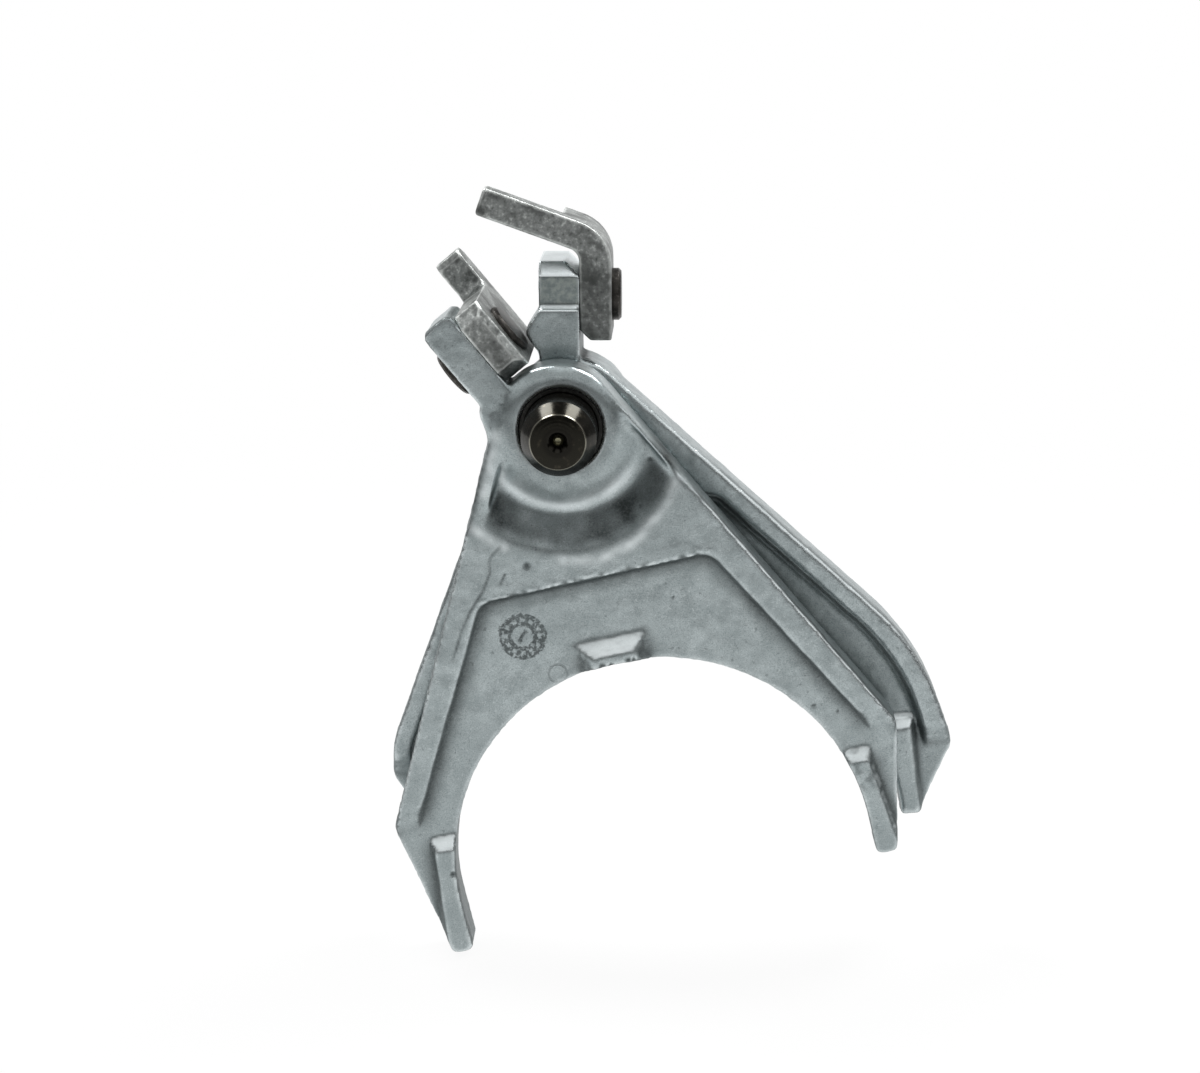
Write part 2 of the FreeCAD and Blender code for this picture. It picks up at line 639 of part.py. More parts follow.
# Rear fork: lopsided jaw, short hub and an upright lug
def rear_fork():
    body = cast_fork("rear_fork", "rear_", True)
    hub = new_sketch(body, "rear_hub_circle", "XZ_Plane", "sizes.rear_arm_setback")
    circle(hub, "sizes.rear_hub_radius", ("sizes.rear_hub_shift", "sizes.rear_hub_rise"))
    pad(body, hub, "rear_hub", "sizes.rear_hub_length - sizes.rear_arm_setback")
    boss = new_sketch(body, "rear_boss_circle", "XZ_Plane")
    circle(boss, "min(sizes.rear_boss_radius; sizes.rear_hub_radius)")
    pad(body, boss, "rear_boss", "sizes.rear_arm_setback")
    turn = size("rear_turn")
    left = -size("top_lug_left")
    right = size("top_lug_right")
    rise = size("top_lug_root_rise")
    widest = rise - size("top_lug_root_slope")
    neck = widest - size("top_lug_root_neck")
    rounding = size("top_lug_root_round")
    reach = size("top_lug_reach")
    corner = size("top_lug_corner")
    low = size("rear_hub_radius") / 2
    root = new_sketch(body, "top_lug_root_outline", "XZ_Plane", "sizes.top_lug_root_setback")
    root_points = [
        (left, low),
        (left, neck, rounding),
        (left - size("top_lug_root_flare"), widest, rounding),
        (left, rise),
        (right, rise),
        (right, low),
    ]
    draw(root, loop([turned(x, z, turn) + tuple(more) for x, z, *more in root_points]))
    pad(body, root, "top_lug_root", "sizes.rear_hub_length - sizes.top_lug_root_setback")
    blade = new_sketch(body, "top_lug_outline", "XZ_Plane", "sizes.top_lug_setback")
    blade_points = [
        (left, low),
        (left, reach),
        (right - corner, reach),
        (right, reach - corner),
        (right, low),
    ]
    draw(blade, loop([turned(x, z, turn) for x, z in blade_points]))
    feature = pad(body, blade, "top_lug", "sizes.top_lug_depth")
    front = size("top_lug_setback")
    top_left = turned(left, reach, turn)

    def top_front(edge):
        box = edge.BoundBox
        at_front = abs(box.YMin - front) < 0.01 and abs(box.YMax - front) < 0.01
        return at_front and box.ZMax > top_left[1] - 0.01 and box.XMin < top_left[0] + 0.01 \
            and box.XLength > box.ZLength

    bevel(body, feature, "top_lug_slope", edges_where(feature, top_front), "sizes.top_lug_bevel")
    rivet_hole(body, "top_rivet_hole", TOP_RIVET, turn)
    bore_hub(body, "rear_")
    place(body, REAR_HUB_BACK, -turn)
    return body


# Rod, bushes and rivets
def selector_rod():
    """Plain rod with a lead cone and a centre at each end; a groove beside each bush."""
    body = new_body("selector_rod")
    section = new_sketch(body, "rod_section", "XY_Plane")
    radius = size("rod_radius")
    lead = size("rod_lead_length")
    near = -lead
    far = near + size("rod_length")
    end = radius - size("rod_lead_depth")
    drill = size("rod_centre_radius")
    depth = size("rod_centre_depth")
    floor = radius - size("rod_groove_depth")
    cover = size("rod_groove_cover")
    width = size("rod_groove_width")
    front_face = size("rod_overhang") - lead
    rear_face = front_face + size("front_hub_length") + size("fork_gap") + size("rear_hub_length")
    corners = [(0.0, near + depth), (drill, near), (end, near), (radius, near + lead)]
    for start in (front_face + cover, rear_face - cover - width):
        corners += [(radius, start), (floor, start), (floor, start + width), (radius, start + width)]
    corners += [(radius, far - lead), (end, far), (drill, far), (0.0, far - depth)]
    draw(section, loop(corners))
    turn_profile(body, section, "rod_turning", "Revolution")
    return body


def bush(label, prefix, back):
    body = new_body(label)
    rings = new_sketch(body, label + "_rings", "XZ_Plane", "sizes.bush_recess")
    circle(rings, "sizes.rod_radius + sizes.rod_clearance")
    circle(rings, "sizes.rod_radius + sizes.rod_clearance + sizes.bush_wall")
    pad(body, rings, label + "_wall", "sizes.%shub_length - 2 * sizes.bush_recess" % prefix)
    place(body, back)
    return body


def rivet(label, length, left, right):
    """A shank along X from x = 0, with heads of the given heights, or none, beyond its ends."""
    body = new_body(label)
    section = new_sketch(body, label + "_section", "XY_Plane")
    shank = size("rivet_radius")
    head = size("rivet_head_radius")
    edge = size("rivet_head_edge")

    def half_head(height):
        if not height:
            return [(0.0, 0.0)]
        return [(height, 0.0), (height, head - edge), (height - edge, head), (0.0, head)]

    corners = [(-x, across) for x, across in half_head(left)]
    corners += [(0.0, shank), (length, shank)]
    corners += [(length + x, across) for x, across in reversed(half_head(right))]
    draw(section, loop(corners))
    feature = body.newObject("PartDesign::Revolution", label + "_turning")
    feature.Profile = section
    feature.ReferenceAxis = (section, ["H_Axis"])
    feature.Angle = 360
    doc.recompute()
    return body


def front_finger_rivet():
    near, seat = side_lug_faces()
    far = seat + size("side_finger_thickness")
    heads = (size("rivet_head_height"), size("rivet_inner_head_height"))
    body = rivet("front_finger_rivet", far - near, *heads)
    lean = -size("side_lug_lean")
    x, z = turned(near, size("side_rivet_reach"), lean)
    place(body, FRONT_HUB_BACK + " + " + SIDE_RIVET[0], lean, x, z)
    return body


def rear_finger_rivet():
    near = -size("top_lug_left")
    far = size("top_lug_right") + size("top_finger_thickness")
    body = rivet("rear_finger_rivet", far - near, None, size("rivet_head_height"))
    place(body, REAR_HUB_BACK + " + " + TOP_RIVET[0], 0.0, near, size("top_rivet_reach"))
    return body


# Steel fingers
def front_finger():
    """Flat plate on the side lug, drawn along the rod and along the lug."""
    body = new_body("front_finger")
    sketch = new_sketch(body, "front_finger_outline", "YZ_Plane")
    depth = size("side_finger_depth")
    foot = size("side_finger_foot")
    shoulder = size("side_finger_shoulder")
    reach = size("side_finger_reach")
    width = size("side_finger_width")
    end_cut = size("side_finger_end_cut")
    tip_cut = size("side_finger_tip_cut")
    draw(sketch, loop([
        (0.0, foot + end_cut),
        (0.0, shoulder - end_cut),
        (end_cut, shoulder),
        (depth - width, shoulder, size("side_finger_root_radius")),
        (depth - width, reach - tip_cut),
        (depth - width + tip_cut, reach),
        (depth - tip_cut, reach),
        (depth, reach - tip_cut),
        (depth, foot + tip_cut),
        (depth - tip_cut, foot),
        (end_cut, foot),
    ]))
    feature = pad(body, sketch, "front_finger_plate", "sizes.side_finger_thickness")
    thickness = size("side_finger_thickness")

    def open_front(edge):
        box = edge.BoundBox
        on_face = abs(box.XMin - thickness) < 0.01 and abs(box.XMax - thickness) < 0.01
        return on_face and box.YMax < 0.01

    edge_names = edges_where(feature, open_front)
    bevel(body, feature, "front_finger_bevel", edge_names, "sizes.side_finger_edge_bevel")
    along = SIDE_RIVET[0] + " - sizes.side_finger_setback"
    rivet_hole(body, "front_finger_hole", (along, SIDE_RIVET[1]))
    lean = -size("side_lug_lean")
    x, z = turned(side_lug_faces()[1], 0.0, lean)
    place(body, FRONT_HUB_BACK + " + sizes.side_finger_setback", lean, x, z)
    return body


def rear_finger():
    """Bent finger on the top lug: an upright foot and an arm leaning up to the left."""
    body = new_body("rear_finger")
    left = size("top_lug_right")
    right = left + size("top_finger_thickness")
    low = size("top_finger_foot_low")
    bend = size("top_finger_bend_rise")
    lean = math.radians(size("top_finger_lean"))
    height = size("top_finger_arm_height")
    reach = size("top_finger_reach")
    foot_cut = size("top_finger_foot_cut")
    inner = size("top_finger_inner_radius")
    outer = size("top_finger_outer_radius")
    bend_left = size("top_finger_bend_left")
    rounding = size("top_finger_end_round")

    def under(x):
        return bend + (left - x) * math.tan(lean)

    def over(x):
        return under(x) + height / math.cos(lean)

    foot_corners = [
        (left, low + foot_cut),
        (left + foot_cut, low),
        (right, low),
        (right, over(right), outer),
    ]
    arm = new_sketch(body, "rear_finger_outline", "XZ_Plane")
    top_x = -reach + height * math.sin(lean)
    end_top = (top_x, over(top_x), rounding)
    end_low = (-reach, under(-reach), rounding)
    draw(arm, loop(foot_corners + [end_top, end_low, (left, under(left), inner)]))
    pad(body, arm, "rear_finger_arm", "sizes.top_finger_arm_depth")
    foot = new_sketch(body, "rear_finger_foot_outline", "XZ_Plane")
    bend_corners = [(bend_left, over(bend_left)), (bend_left, under(bend_left))]
    draw(foot, loop(foot_corners + bend_corners + [(left, under(left), inner)]))
    pad(body, foot, "rear_finger_foot", "sizes.top_finger_foot_depth")
    along = TOP_RIVET[0] + " - sizes.top_finger_setback"
    rivet_hole(body, "rear_finger_hole", (along, TOP_RIVET[1]))
    place(body, REAR_HUB_BACK + " + sizes.top_finger_setback")
    return body


PIECES = [
    selector_rod(),
    front_fork(),
    bush("front_fork_bush", "front_", FRONT_HUB_BACK),
    front_finger(),
    front_finger_rivet(),
    rear_fork(),
    bush("rear_fork_bush", "rear_", REAR_HUB_BACK),
    rear_finger(),
    rear_finger_rivet(),
]
doc.recompute()

failed = [item.Name for item in doc.Objects if "Invalid" in item.State or "Error" in item.State]
if failed:
    raise RuntimeError("failed objects: " + ", ".join(failed))
os.makedirs("parts", exist_ok=True)
for piece in PIECES:
    shape = piece.Shape
    if shape.isNull() or not shape.isValid() or len(shape.Solids) != 1:
        raise RuntimeError(piece.Label + " is not one valid solid")
    shape.exportStep(os.path.join("parts", piece.Label + ".step"))
    box = shape.BoundBox
    print("%-20s volume %9.1f  x %.1f..%.1f  y %.1f..%.1f  z %.1f..%.1f" % (
        piece.Label, shape.Volume, box.XMin, box.XMax, box.YMin, box.YMax, box.ZMin, box.ZMax))
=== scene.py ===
import math
import bpy
import numpy as np
from mathutils import Matrix, Vector, noise


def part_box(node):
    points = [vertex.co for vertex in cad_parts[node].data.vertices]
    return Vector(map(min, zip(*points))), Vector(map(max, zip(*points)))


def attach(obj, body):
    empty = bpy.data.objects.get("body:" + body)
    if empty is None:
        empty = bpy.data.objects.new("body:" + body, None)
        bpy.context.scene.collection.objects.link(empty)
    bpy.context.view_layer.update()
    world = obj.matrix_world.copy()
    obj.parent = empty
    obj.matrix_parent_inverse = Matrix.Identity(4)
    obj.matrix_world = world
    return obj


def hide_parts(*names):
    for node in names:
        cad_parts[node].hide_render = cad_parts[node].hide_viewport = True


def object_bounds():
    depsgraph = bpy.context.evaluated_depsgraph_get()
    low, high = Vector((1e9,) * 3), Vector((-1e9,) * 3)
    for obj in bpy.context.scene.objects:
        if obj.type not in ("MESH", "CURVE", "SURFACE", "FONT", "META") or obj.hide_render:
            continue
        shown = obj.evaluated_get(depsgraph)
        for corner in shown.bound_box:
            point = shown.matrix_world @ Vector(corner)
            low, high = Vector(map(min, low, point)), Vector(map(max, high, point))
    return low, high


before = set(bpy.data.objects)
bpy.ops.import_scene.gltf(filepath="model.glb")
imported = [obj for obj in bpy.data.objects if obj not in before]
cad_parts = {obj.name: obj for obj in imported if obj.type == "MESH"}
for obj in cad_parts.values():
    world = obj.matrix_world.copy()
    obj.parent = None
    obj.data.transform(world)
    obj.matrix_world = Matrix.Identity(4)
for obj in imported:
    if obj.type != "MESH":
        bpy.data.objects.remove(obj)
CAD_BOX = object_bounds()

bl_info = {
    "name": "Selector fork pair",
    "version": (1, 0, 0),
    "blender": (4, 5, 0),
    "location": "3D View > Sidebar > Forks",
    "description": "Dresses two nested selector forks, their fingers, rivets, bushes and rod",
    "category": "Object",
}

MM = 0.001
ROD, FRONT, REAR = "rod", "front_fork_set", "rear_fork_set"

# Marks and lines of painted highlight on the front fork, seen along the rod (x, z) in millimetres
FLOW_LINE = [(-11.9, -22.8), (-13.4, -24.4), (-14.0, -25.8), (-13.8, -27.9),
             (-15.4, -31.7), (-17.8, -35.6), (-19.4, -39.2), (-21.3, -45.2)]
SHORT_FLOW_LINE = [(-11.0, -28.1), (-12.0, -30.3)]
LIT_LIPS = [[(-12.2, -1.0), (-13.6, -7.5), (-14.6, -12.5)],
            [(-17.4, -18.6), (-14.4, -21.0), (-11.0, -22.8)],
            [(0.0, -25.4), (7.0, -25.2), (13.6, -22.0), (19.0, -15.5), (22.3, -8.4)]]
RECESS_EDGE = [(-16.2, -33.8), (28.0, -23.6)]
DATE_MARK = (-7.9, -40.8)
DATE_MARK_RADIUS = 4.1
MARK_TICKS = 12.0
PIN_MARK = (-1.2, -48.2)
PIN_MARK_RADIUS = 1.8

# Pores and the scuffed spot of the front fork: x, z and radius in millimetres
PORES = [(-6.8, -26.4, 0.7), (-22.3, -88.9, 0.5), (48.0, -54.5, 0.32), (52.6, -55.7, 0.36),
         (7.4, -46.5, 0.7), (9.1, -46.2, 0.45), (12.4, -45.2, 0.6), (13.4, -45.0, 0.4),
         (14.6, -14.9, 0.35), (16.6, -6.2, 0.35), (21.0, -33.0, 0.3), (-11.5, -18.0, 0.35)]
SCUFF = (57.5, -66.8, 6.0)

# Levels along the rod (y) and sizes of the castings in millimetres
MARKED_LEVEL = 10.7
FRONT_ARM_FACE = 9.1
REAR_ARM_FACE = 19.7
RECESS_DEPTH = 1.7
FRONT_DIE_JOINT = 11.2
REAR_DIE_JOINT = 22.4
DIE_JOINT_WIDTH = 0.8
BORE_GUARD = 8.1

# Metal shares of the steels, heights between which the arms turn darker towards the bottom, stretch of
# the scratches
STEEL_METALLIC = 0.85
ROD_METALLIC = 0.9
DARKER_BELOW = (-95.0, -40.0)
SCRATCH_STRETCH = (0.8, 1.0, 1.7)

# The camera's axes and place in metres, as fitted to the picture, and the lamps
CAMERA_RIGHT = (0.9994, 0.0336, -0.0083)
CAMERA_UP = (0.0, 0.2396, 0.9709)
CAMERA_BACK = (0.0346, -0.9703, 0.2395)
CAMERA_PLACE = (0.0238, -0.4573, 0.0944)
SENSOR_WIDTH = 36.0
FLOOR_HALF = 1.6
LAMPS = (("left_lamp", (-0.26, 0.20, 0.50)), ("right_lamp", (0.28, 0.20, 0.50)))
LAMP_SIZE = 0.26
LAMP_TARGET = (0.01, 0.02, -0.02)


# Sizes and colours
def length(name, description, default):
    return bpy.props.FloatProperty(
        name=name, description=description, default=default, unit="LENGTH", precision=6
    )


def share(name, description, default):
    return bpy.props.FloatProperty(
        name=name, description=description, default=default, min=0.0, max=1.0, subtype="FACTOR"
    )


def colour(name, description, default):
    return bpy.props.FloatVectorProperty(
        name=name, description=description, default=default, size=3,
        min=0.0, max=1.0, subtype="COLOR"
    )


class CastingFinish(bpy.types.PropertyGroup):
    cell: length("Cell", "Spacing of the cast skin's points", 0.40 * MM)
    softening: bpy.props.IntProperty(
        name="Softening", description="Passes that round the cast edges", default=6, min=0
    )
    wave: length("Wave", "Height of the slow waves in the cast skin", 0.11 * MM)
    grain: length("Grain", "Height of the fine grain in the cast skin", 0.025 * MM)
    flash: length("Flash", "Height of the rough line left by the die joint", 0.11 * MM)
    burr: length("Burr", "Height of the rough edge above the front recess", 0.11 * MM)
    body: colour("Body", "Plain cast aluminium", (0.46, 0.515, 0.522))
    dull: colour("Dull", "Stained patches of the cast skin", (0.17, 0.205, 0.21))
    worn: colour("Worn", "Rubbed edges", (0.80, 0.86, 0.87))
    # Colour of the painted highlight on the up-facing slopes of the pads and the top lug, and on the
    # lips of the front hollow
    painted_highlight: colour("Bare", "Bare slopes of the pads and of the top lug", (0.86, 0.92, 0.93))
    # Colour of the dark specks, of oil in pores and stamped marks, and of painted shade in corners,
    # hollows and recesses
    grime_and_shade: colour("Grime", "Oil and dirt in corners and pores", (0.045, 0.052, 0.052))
    machined: colour("Machined", "Milled seat of the top lug", (0.37, 0.41, 0.39))
    stained: share("Stained", "Strength of the stained patches", 0.42)
    clouded: share("Clouded", "Strength of the slow dull clouds", 0.25)
    sparkle: share("Sparkle", "Strength of the fine light grain", 0.38)
    grit: share("Grit", "Strength of the fine dull grain", 0.50)
    scratched: share("Scratched", "Strength of the light scratches", 0.22)
    specked: share("Specked", "Strength of the dark specks", 0.40)
    metallic: share("Metallic", "Metal share of the cast skin", 0.96)
    roughness: share("Roughness", "Roughness of the cast skin", 0.26)


class SteelFinish(bpy.types.PropertyGroup):
    cell: length("Cell", "Spacing of the finger skin's points", 0.24 * MM)
    softening: bpy.props.IntProperty(
        name="Softening", description="Passes that round the finger edges", default=5, min=0
    )
    grain: length("Grain", "Height of the finger skin's grain", 0.03 * MM)
    finger: colour("Finger", "Mottled finger steel", (0.30, 0.315, 0.308))
    finger_dark: colour("Finger dark", "Dark spots of the finger steel", (0.055, 0.059, 0.056))
    finger_light: colour("Finger light", "Rubbed spots of the finger steel", (0.78, 0.81, 0.79))
    rivet: colour("Rivet", "Dark rivet steel", (0.045, 0.042, 0.038))
    rod: colour("Rod", "Dark ground rod", (0.019, 0.018, 0.014))
    bush: colour("Bush", "Dark bush lining", (0.03, 0.03, 0.028))


class StudioFinish(bpy.types.PropertyGroup):
    floor_drop: length("Floor drop", "Floor below the lowest tip", 0.8 * MM)
    floor: colour("Floor", "Floor and backdrop", (0.90, 0.90, 0.90))
    lamp_power: bpy.props.FloatProperty(
        name="Lamp power", description="Power of each upper lamp", default=2.6, unit="POWER"
    )
    lens: bpy.props.FloatProperty(
        name="Lens", description="Focal length", default=76.2, unit="CAMERA"
    )


# Shader nodes
class Value:
    """A number or vector socket. Arithmetic on numbers adds Math nodes."""

    def __init__(self, paint, socket):
        self.paint = paint
        self.socket = socket

    def math(self, operation, *values, clamp=False):
        inputs = dict(enumerate(values))
        settings = {"operation": operation, "use_clamp": clamp}
        return self.paint.node("ShaderNodeMath", settings, inputs)

    def __add__(self, other):
        return self.math("ADD", self, other)

    def __radd__(self, other):
        return self.math("ADD", other, self)

    def __sub__(self, other):
        return self.math("SUBTRACT", self, other)

    def __rsub__(self, other):
        return self.math("SUBTRACT", other, self)

    def __mul__(self, other):
        return self.math("MULTIPLY", self, other)

    def __rmul__(self, other):
        return self.math("MULTIPLY", other, self)

    def __pow__(self, other):
        return self.math("POWER", self, other)

    def clamped(self):
        return self.math("ADD", self, 0.0, clamp=True)

    def absolute(self):
        return self.math("ABSOLUTE", self)

    def sine(self):
        return self.math("SINE", self)

    def largest(self, other):
        return self.math("MAXIMUM", self, other)

    def near(self, centre, width):
        """1 within half a width of a centre, 0 beyond the width."""
        return 1.0 - (self - centre).absolute().step(width * 0.5, width)

    def step(self, low, high):
        """0 at low, 1 at high, smooth between them."""
        settings = {"interpolation_type": "SMOOTHSTEP"}
        return self.paint.node("ShaderNodeMapRange", settings, {0: self, 1: low, 2: high})


class Paint:
    """A material or world whose nodes are made by one method."""

    def __init__(self, tree):
        self.tree = tree
        tree.nodes.clear()

    def node(self, kind, settings=None, inputs=None, output=0):
        made = self.tree.nodes.new(kind)
        for name, value in (settings or {}).items():
            setattr(made, name, value)
        for key, value in (inputs or {}).items():
            target = made.inputs[key]
            if isinstance(value, Value):
                self.tree.links.new(value.socket, target)
            elif isinstance(value, tuple) and target.type == "RGBA":
                target.default_value = value + (1.0,)
            else:
                target.default_value = value
        return Value(self, made.outputs[output]) if made.outputs else None

    def place(self):
        """Object coordinates in millimetres."""
        where = self.node("ShaderNodeTexCoord", output="Object")
        return self.node("ShaderNodeVectorMath", {"operation": "SCALE"}, {0: where, "Scale": 1000.0})

    def axes(self, vector):
        split = self.node("ShaderNodeSeparateXYZ", inputs={0: vector}).socket.node
        return [Value(self, split.outputs[index]) for index in range(3)]

    def clouds(self, where, scale, detail=3.0, rough=0.5):
        inputs = {"Vector": where, "Scale": scale, "Detail": detail, "Roughness": rough}
        return self.node("ShaderNodeTexNoise", inputs=inputs)

    def stretched(self, where, factors):
        return self.node("ShaderNodeVectorMath", {"operation": "MULTIPLY"}, {0: where, 1: factors})

    def painted(self, name):
        """A value stored on the points of the mesh."""
        return self.node("ShaderNodeAttribute", {"attribute_name": name}, output="Fac")

    def mix(self, first, second, factor):
        settings = {"data_type": "RGBA"}
        inputs = {0: factor, 6: first, 7: second}
        return self.node("ShaderNodeMix", settings, inputs, output=2)

    def bump(self, height, strength, distance):
        inputs = {"Height": height, "Strength": strength, "Distance": distance}
        return self.node("ShaderNodeBump", inputs=inputs)


def metal(name, metallic, build):
    """A material whose build function returns the other inputs of its shader."""
    material = bpy.data.materials.new(name)
    material.use_nodes = True
    paint = Paint(material.node_tree)
    inputs = {"Metallic": metallic, **build(paint)}
    shader = paint.node("ShaderNodeBsdfPrincipled", inputs=inputs)
    paint.node("ShaderNodeOutputMaterial", inputs={"Surface": shader})
    return material


def rgb(value):
    """A colour property as three plain numbers."""
    return tuple(value)[:3]


def round_mark(paint, where):
    """A worn round mark: two rings, ticks between them and a pointer."""
    x, _, z = paint.axes(where)
    wobble = paint.clouds(where, 0.9, 3.0, 0.7)
    across = x - DATE_MARK[0] + (wobble - 0.5) * 1.5
    up = z - DATE_MARK[1] + (0.5 - wobble) * 1.2
    reach = (across * across + up * up) ** 0.5
    turn = up.math("ARCTAN2", up, across) * (MARK_TICKS / math.tau)
    ticks = turn.math("FRACT", turn + MARK_TICKS).near(0.5, 0.34)
    ticks = ticks * reach.near(DATE_MARK_RADIUS * 0.86, DATE_MARK_RADIUS * 0.26)
    rings = reach.near(DATE_MARK_RADIUS, 0.62).largest(reach.near(DATE_MARK_RADIUS * 0.6, 0.55))
    along = across * 0.5 + up * 0.87
    beside = across * 0.87 - up * 0.5
    pointer = beside.near(0.0, 0.55) * along.near(0.0, DATE_MARK_RADIUS * 0.42)
    faded = paint.clouds(where, 1.4, 2.0).step(0.30, 0.55)
    return ticks.largest(rings).largest(pointer) * faded


def cast_aluminium(name, finish, marked, darker_below):
    """Cast skin; marked adds the round marks, darker_below is how much darker the arms' lower ends turn.
    """
    def build(paint):
        where = paint.place()
        x, y, z = paint.axes(where)
        broad = paint.clouds(where, 0.09, 2.0)
        patches = paint.clouds(where, 0.35, 4.0, 0.6)
        fine = paint.clouds(where, 2.2, 3.0, 0.7)
        specks = paint.clouds(where, 1.1, 2.0, 0.5)
        sharp = paint.clouds(where, 4.5, 2.0, 0.6)
        stretched = paint.stretched(where, SCRATCH_STRETCH)
        scratches = paint.clouds(stretched, 1.6, 2.0, 0.6)
        mottle = paint.clouds(where, 0.9, 4.0, 0.7).step(0.35, 0.65)
        worn = paint.painted("worn")
        grime_and_shade = paint.painted("grime_and_shade")
        milled = paint.painted("milled")
        painted_highlight = paint.painted("painted_highlight")
        stain = (patches * 0.6 + broad * 0.4).step(0.38, 0.66) * finish.stained
        # Darker towards the lower ends of the arms
        lower = (1.0 - z.step(*DARKER_BELOW)) * darker_below
        skin = paint.mix(rgb(finish.body), rgb(finish.dull), stain.largest(lower))
        skin = paint.mix(skin, rgb(finish.worn), (fine.step(0.54, 0.74) * finish.sparkle).clamped())
        skin = paint.mix(skin, rgb(finish.dull), (1.0 - sharp.step(0.34, 0.54)) * finish.grit)
        skin = paint.mix(skin, rgb(finish.worn), scratches.step(0.60, 0.70) * finish.scratched)
        skin = paint.mix(skin, rgb(finish.grime_and_shade), specks.step(0.66, 0.74) * finish.specked)
        seat_skin = paint.mix(rgb(finish.machined), rgb(finish.dull), mottle * 0.7)
        skin = paint.mix(skin, seat_skin, milled)
        rubbed = (worn * (0.55 + fine)).clamped()
        skin = paint.mix(skin, rgb(finish.worn), rubbed)
        # Darkening from the stored values: painted shade in corners, hollows and along walls, with the
        # real flaws, pores, scuff and stamped marks
        dirt_and_shade = (grime_and_shade * (0.6 + fine * 0.7)).clamped()
        height = fine * 0.6 + sharp * 0.35 + patches * 0.4
        if marked:
            pin = ((x - PIN_MARK[0]) ** 2.0 + (z - PIN_MARK[1]) ** 2.0) ** 0.5
            stamp = round_mark(paint, where).largest(pin.near(PIN_MARK_RADIUS, 0.3) * 0.35)
            stamp = stamp * y.near(MARKED_LEVEL, 1.2)
            dirt_and_shade = dirt_and_shade.largest(stamp * 0.70)
            height = height - stamp * 2.2
        skin = paint.mix(skin, rgb(finish.grime_and_shade), dirt_and_shade)
        rough = (finish.roughness + patches * 0.12 - rubbed * 0.12 + dirt_and_shade * 0.25).clamped()
        clouded = (1.0 - broad.step(0.36, 0.56)) * (1.0 - painted_highlight) * finish.clouded
        skin = paint.mix(skin, rgb(finish.dull), clouded)
        # Painted highlight on up-facing slopes and on the lips of the hollow
        skin = paint.mix(skin, rgb(finish.painted_highlight), painted_highlight * (0.40 + patches * 0.5 + fine * 0.35))
        normal = paint.bump(height, 0.45, 0.08 * MM)
        return {"Base Color": skin, "Roughness": rough, "Normal": normal}

    return metal(name, finish.metallic, build)


def finger_steel(finish):
    """Mottled steel, light where it is rubbed and dark in its corners."""
    def build(paint):
        where = paint.place()
        spots = paint.clouds(where, 1.1, 5.0, 0.68)
        patches = paint.clouds(where, 0.22, 3.0)
        worn = paint.painted("worn")
        grime_and_shade = paint.painted("grime_and_shade")
        skin = paint.mix(rgb(finish.finger_dark), rgb(finish.finger), spots.step(0.25, 0.52) * 0.8 + 0.2)
        skin = paint.mix(skin, rgb(finish.finger_light), spots.step(0.52, 0.68) * 0.65)
        skin = paint.mix(skin, rgb(finish.finger_dark), patches.step(0.46, 0.64) * 0.65)
        skin = paint.mix(skin, rgb(finish.finger_light), (worn * (0.4 + spots)).clamped())
        # Painted shade in corners and darker ends from the stored values
        skin = paint.mix(skin, rgb(finish.finger_dark), grime_and_shade.clamped())
        rough = (0.34 + spots * 0.22).clamped()
        normal = paint.bump(spots, 0.5, 0.08 * MM)
        return {"Base Color": skin, "Roughness": rough, "Normal": normal}

    return metal("finger steel", STEEL_METALLIC, build)


def rod_steel(finish):
    """Dark ground steel with turned rings on its ends and painted shade round its drilled centres."""
    def build(paint):
        where = paint.place()
        x, y, z = paint.axes(where)
        reach = (x * x + z * z) ** 0.5
        ripple = (reach * 9.0).sine()
        along = (y * 11.0).sine()
        streaks = paint.clouds(where, 0.8, 3.0)
        warm = paint.mix(rgb(finish.rod), (0.22, 0.19, 0.14), streaks.step(0.55, 0.75) * 0.14)
        # Painted shade round the drilled centre, a light ring at the end face's edge and a pale dot at
        # the centre's bottom
        skin = paint.mix(warm, (0.012, 0.011, 0.009), reach.near(1.9, 1.3) * 0.7)
        skin = paint.mix(skin, (0.30, 0.29, 0.24), reach.near(5.15, 0.16) * 0.6)
        skin = paint.mix(skin, (0.22, 0.21, 0.14), 1.0 - reach.step(0.55, 1.0))
        rough = (0.13 + streaks * 0.12).clamped()
        normal = paint.bump(ripple * 0.5 + along * 0.3, 0.12, 0.03 * MM)
        return {"Base Color": skin, "Roughness": rough, "Normal": normal}

    return metal("rod steel", ROD_METALLIC, build)


def dark_steel(name, base, roughness):
    """Dark steel with lighter spots, for rivets and bushes."""
    def build(paint):
        where = paint.place()
        spots = paint.clouds(where, 1.6, 4.0, 0.65)
        lighter = tuple(min(1.0, part * 3.0 + 0.02) for part in base)
        skin = paint.mix(base, lighter, spots.step(0.5, 0.72) * 0.6)
        normal = paint.bump(spots, 0.3, 0.05 * MM)
        return {"Base Color": skin, "Roughness": roughness, "Normal": normal}

    return metal(name, STEEL_METALLIC, build)


# Meshes
def cad_copy(node, name):
    """A new object with a copy of a node's mesh."""
    piece = bpy.data.objects.new(name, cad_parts[node].data.copy())
    bpy.context.scene.collection.objects.link(piece)
    return piece


def apply_modifiers(piece):
    """Turns a piece's modifiers into its mesh."""
    bpy.context.view_layer.update()
    graph = bpy.context.evaluated_depsgraph_get()
    mesh = bpy.data.meshes.new_from_object(piece.evaluated_get(graph))
    piece.modifiers.clear()
    piece.data = mesh


def seat(piece, node, body, material):
    """Hands a finished piece to the frame in place of its node."""
    piece.data.materials.clear()
    piece.data.materials.append(material)
    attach(piece, body)
    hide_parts(node)


